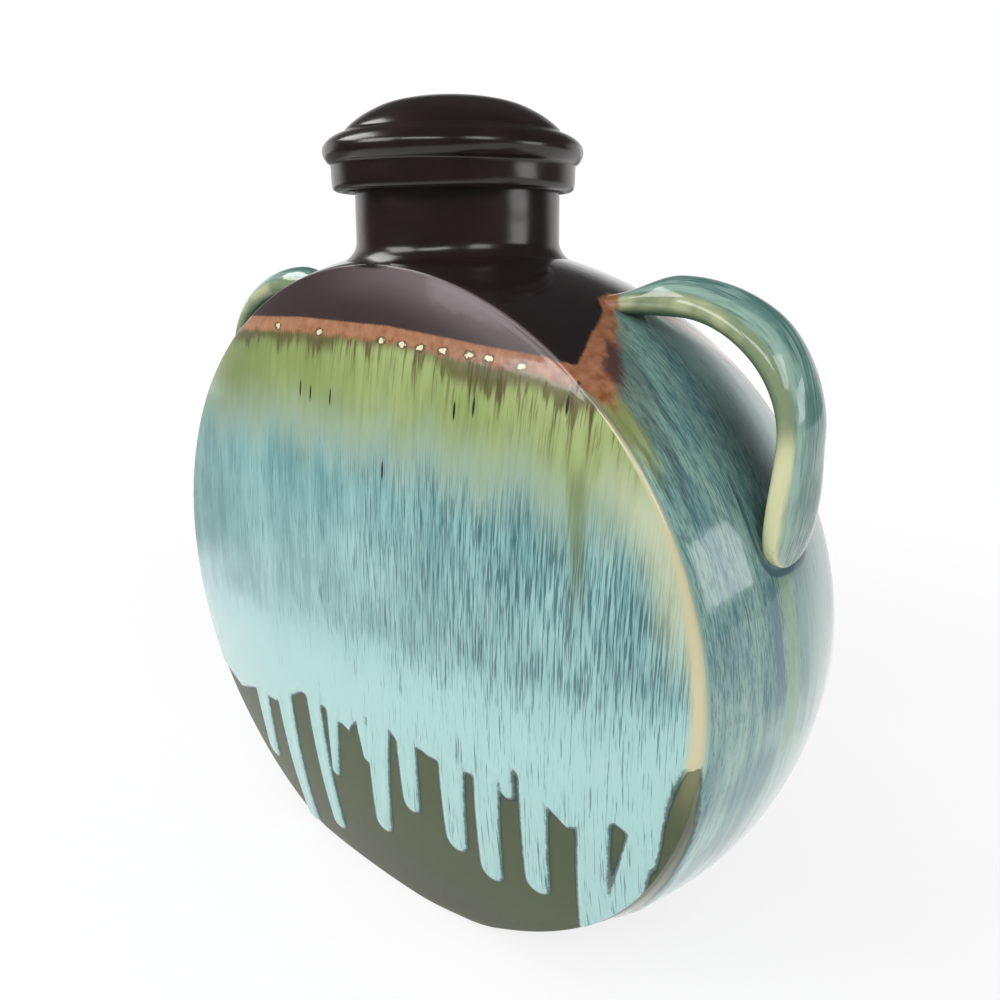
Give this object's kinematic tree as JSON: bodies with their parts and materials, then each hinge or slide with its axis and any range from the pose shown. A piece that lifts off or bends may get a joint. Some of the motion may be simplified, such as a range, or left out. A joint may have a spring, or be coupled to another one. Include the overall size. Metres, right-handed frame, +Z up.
{
  "type": "pilgrim flask",
  "caption": "Flat disc-shaped ceramic flask on a flat foot, with a short neck, a lift-off cap lid and strap handles.",
  "frame": {"origin": "on the ground, under the middle of the flat foot", "axes": "+Z up through the neck, +X across the discs to the right-hand handle, +Y from the front disc to the back disc"},
  "size_m": [0.2646, 0.0982, 0.2721],
  "materials": {
    "face_glaze": "glossy teal drip glaze over satin brown",
    "band_glaze": "glossy streaked teal glaze",
    "foot_glaze": "satin olive-brown glaze",
    "dark_glaze": "satin near-black glaze",
    "handle_glaze": "glossy pale green and teal glaze"
  },
  "bodies": {
    "flask": {"front_face": "face_glaze", "back_face": "face_glaze", "side_band": "band_glaze", "base_slab": "foot_glaze", "neck": "dark_glaze", "handle_left": "handle_glaze", "handle_right": "handle_glaze"},
    "lid": {"lid": "dark_glaze"}
  },
  "joints": [
    {"name": "lid_lift", "type": "slide", "parent": "flask", "child": "lid", "axis": [0, 0, 1], "range_m": [0, 0.1]}
  ]
}
